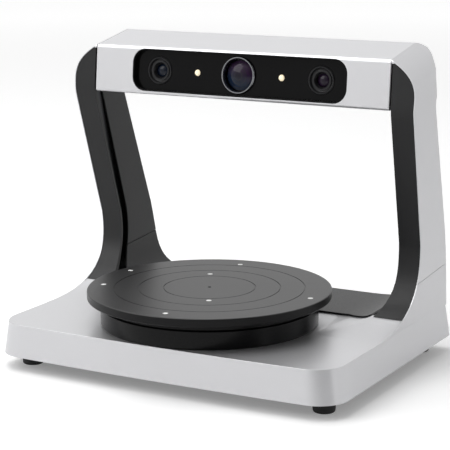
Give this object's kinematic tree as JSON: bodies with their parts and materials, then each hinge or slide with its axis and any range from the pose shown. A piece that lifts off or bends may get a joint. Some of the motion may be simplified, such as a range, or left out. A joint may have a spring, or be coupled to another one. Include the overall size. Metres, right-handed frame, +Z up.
{
  "type": "desktop 3d scanner",
  "caption": "Desktop turntable scanner: a rotating disc on a drafted base under a closed leaning arch whose head holds cameras and a projector.",
  "frame": {"origin": "centre of the footprint, on the surface that the feet stand on", "axes": "+Z up, +X to the right seen from the front, +Y towards the rear sockets"},
  "size_m": [0.3172, 0.2417, 0.2636],
  "materials": {
    "silver_paint": "satin silver paint with a fine metallic grain",
    "dark_coating": "satin dark grey coating",
    "disc_coating": "fine matte dark grey coating",
    "drum_black": "half-gloss black",
    "marker_white": "matte white",
    "foot_rubber": "black rubber",
    "window_black": "polished black",
    "lens_mount": "satin black, turned rings",
    "lens_glass": "coated dark glass",
    "bright_ring": "turned bright aluminium",
    "lamp_lens": "warm white moulded lens",
    "panel_plastic": "moulded dark plastic",
    "socket_shell": "plated steel shell",
    "fastener_steel": "zinc-plated steel",
    "bearing_steel": "ground steel",
    "machined_aluminium": "turned and milled aluminium",
    "gear_acetal": "natural acetal",
    "brass": "turned brass",
    "motor_case": "black laminated motor case",
    "board_green": "green circuit board",
    "spine_steel": "black painted steel",
    "module_black": "moulded black",
    "cable_jacket": "flat ribbon cable"
  },
  "bodies": {
    "casing": {"base_shell": "silver_paint", "side_shell_left": "silver_paint", "side_shell_right": "silver_paint", "head_shell": "silver_paint", "trim_left": "dark_coating", "trim_right": "dark_coating", "liner_lower": "dark_coating", "liner_left": "dark_coating", "liner_right": "dark_coating", "head_rear_cover": "dark_coating", "drum_body": "drum_black", "rubber_feet": "foot_rubber", "window_bezel": "window_black", "window_panel": "window_black", "camera_ring_left": "lens_mount", "camera_ring_right": "lens_mount", "camera_lens_left": "lens_glass", "camera_lens_right": "lens_glass", "projector_lens": "lens_glass", "projector_ring": "bright_ring", "lamp_left": "lamp_lens", "lamp_right": "lamp_lens", "rear_panel": "panel_plastic", "power_inlet": "panel_plastic", "data_socket": "socket_shell", "foot_screws": "fastener_steel", "plate_screws": "fastener_steel", "drum_screws": "fastener_steel", "motor_screws": "fastener_steel", "board_screws": "fastener_steel", "rear_cover_screws": "fastener_steel", "bearing_outer_races": "bearing_steel", "bearing_balls": "bearing_steel", "bearing_housing": "machined_aluminium", "heat_sink": "machined_aluminium", "optics_rail": "machined_aluminium", "board_standoffs": "brass", "stepper_motor": "motor_case", "main_board": "board_green", "connector_board": "board_green", "lamp_bodies": "board_green", "spine_left": "spine_steel", "spine_right": "spine_steel", "base_plate": "spine_steel", "camera_bodies": "module_black", "projector_engine": "module_black", "button_switch": "module_black", "head_cable": "cable_jacket"},
    "turntable": {"turntable_disc": "disc_coating", "marker_dots": "marker_white", "spindle_hub": "machined_aluminium", "spindle_nut": "fastener_steel", "drive_gear": "gear_acetal", "hub_screws": "fastener_steel", "bearing_inner_races": "bearing_steel"},
    "pinion": {"motor_shaft": "fastener_steel", "motor_pinion": "brass"},
    "button": {"power_button": "panel_plastic"}
  },
  "joints": [
    {"name": "turntable_spin", "type": "hinge", "parent": "casing", "child": "turntable", "pos_m": [0, -0.02081, 0.0599], "axis": [0, 0, 1], "continuous": true},
    {"name": "pinion_spin", "type": "hinge", "parent": "casing", "child": "pinion", "pos_m": [0, 0.04219, 0.05], "axis": [0, 0, 1], "continuous": true},
    {"name": "power_button_push", "type": "slide", "parent": "casing", "child": "button", "axis": [0, -1, 0], "range_m": [0, 0.002], "stiffness_N_per_m": 400}
  ],
  "couplings": [
    {"joint": "pinion_spin", "follows": "turntable_spin", "ratio": -4.25}
  ]
}
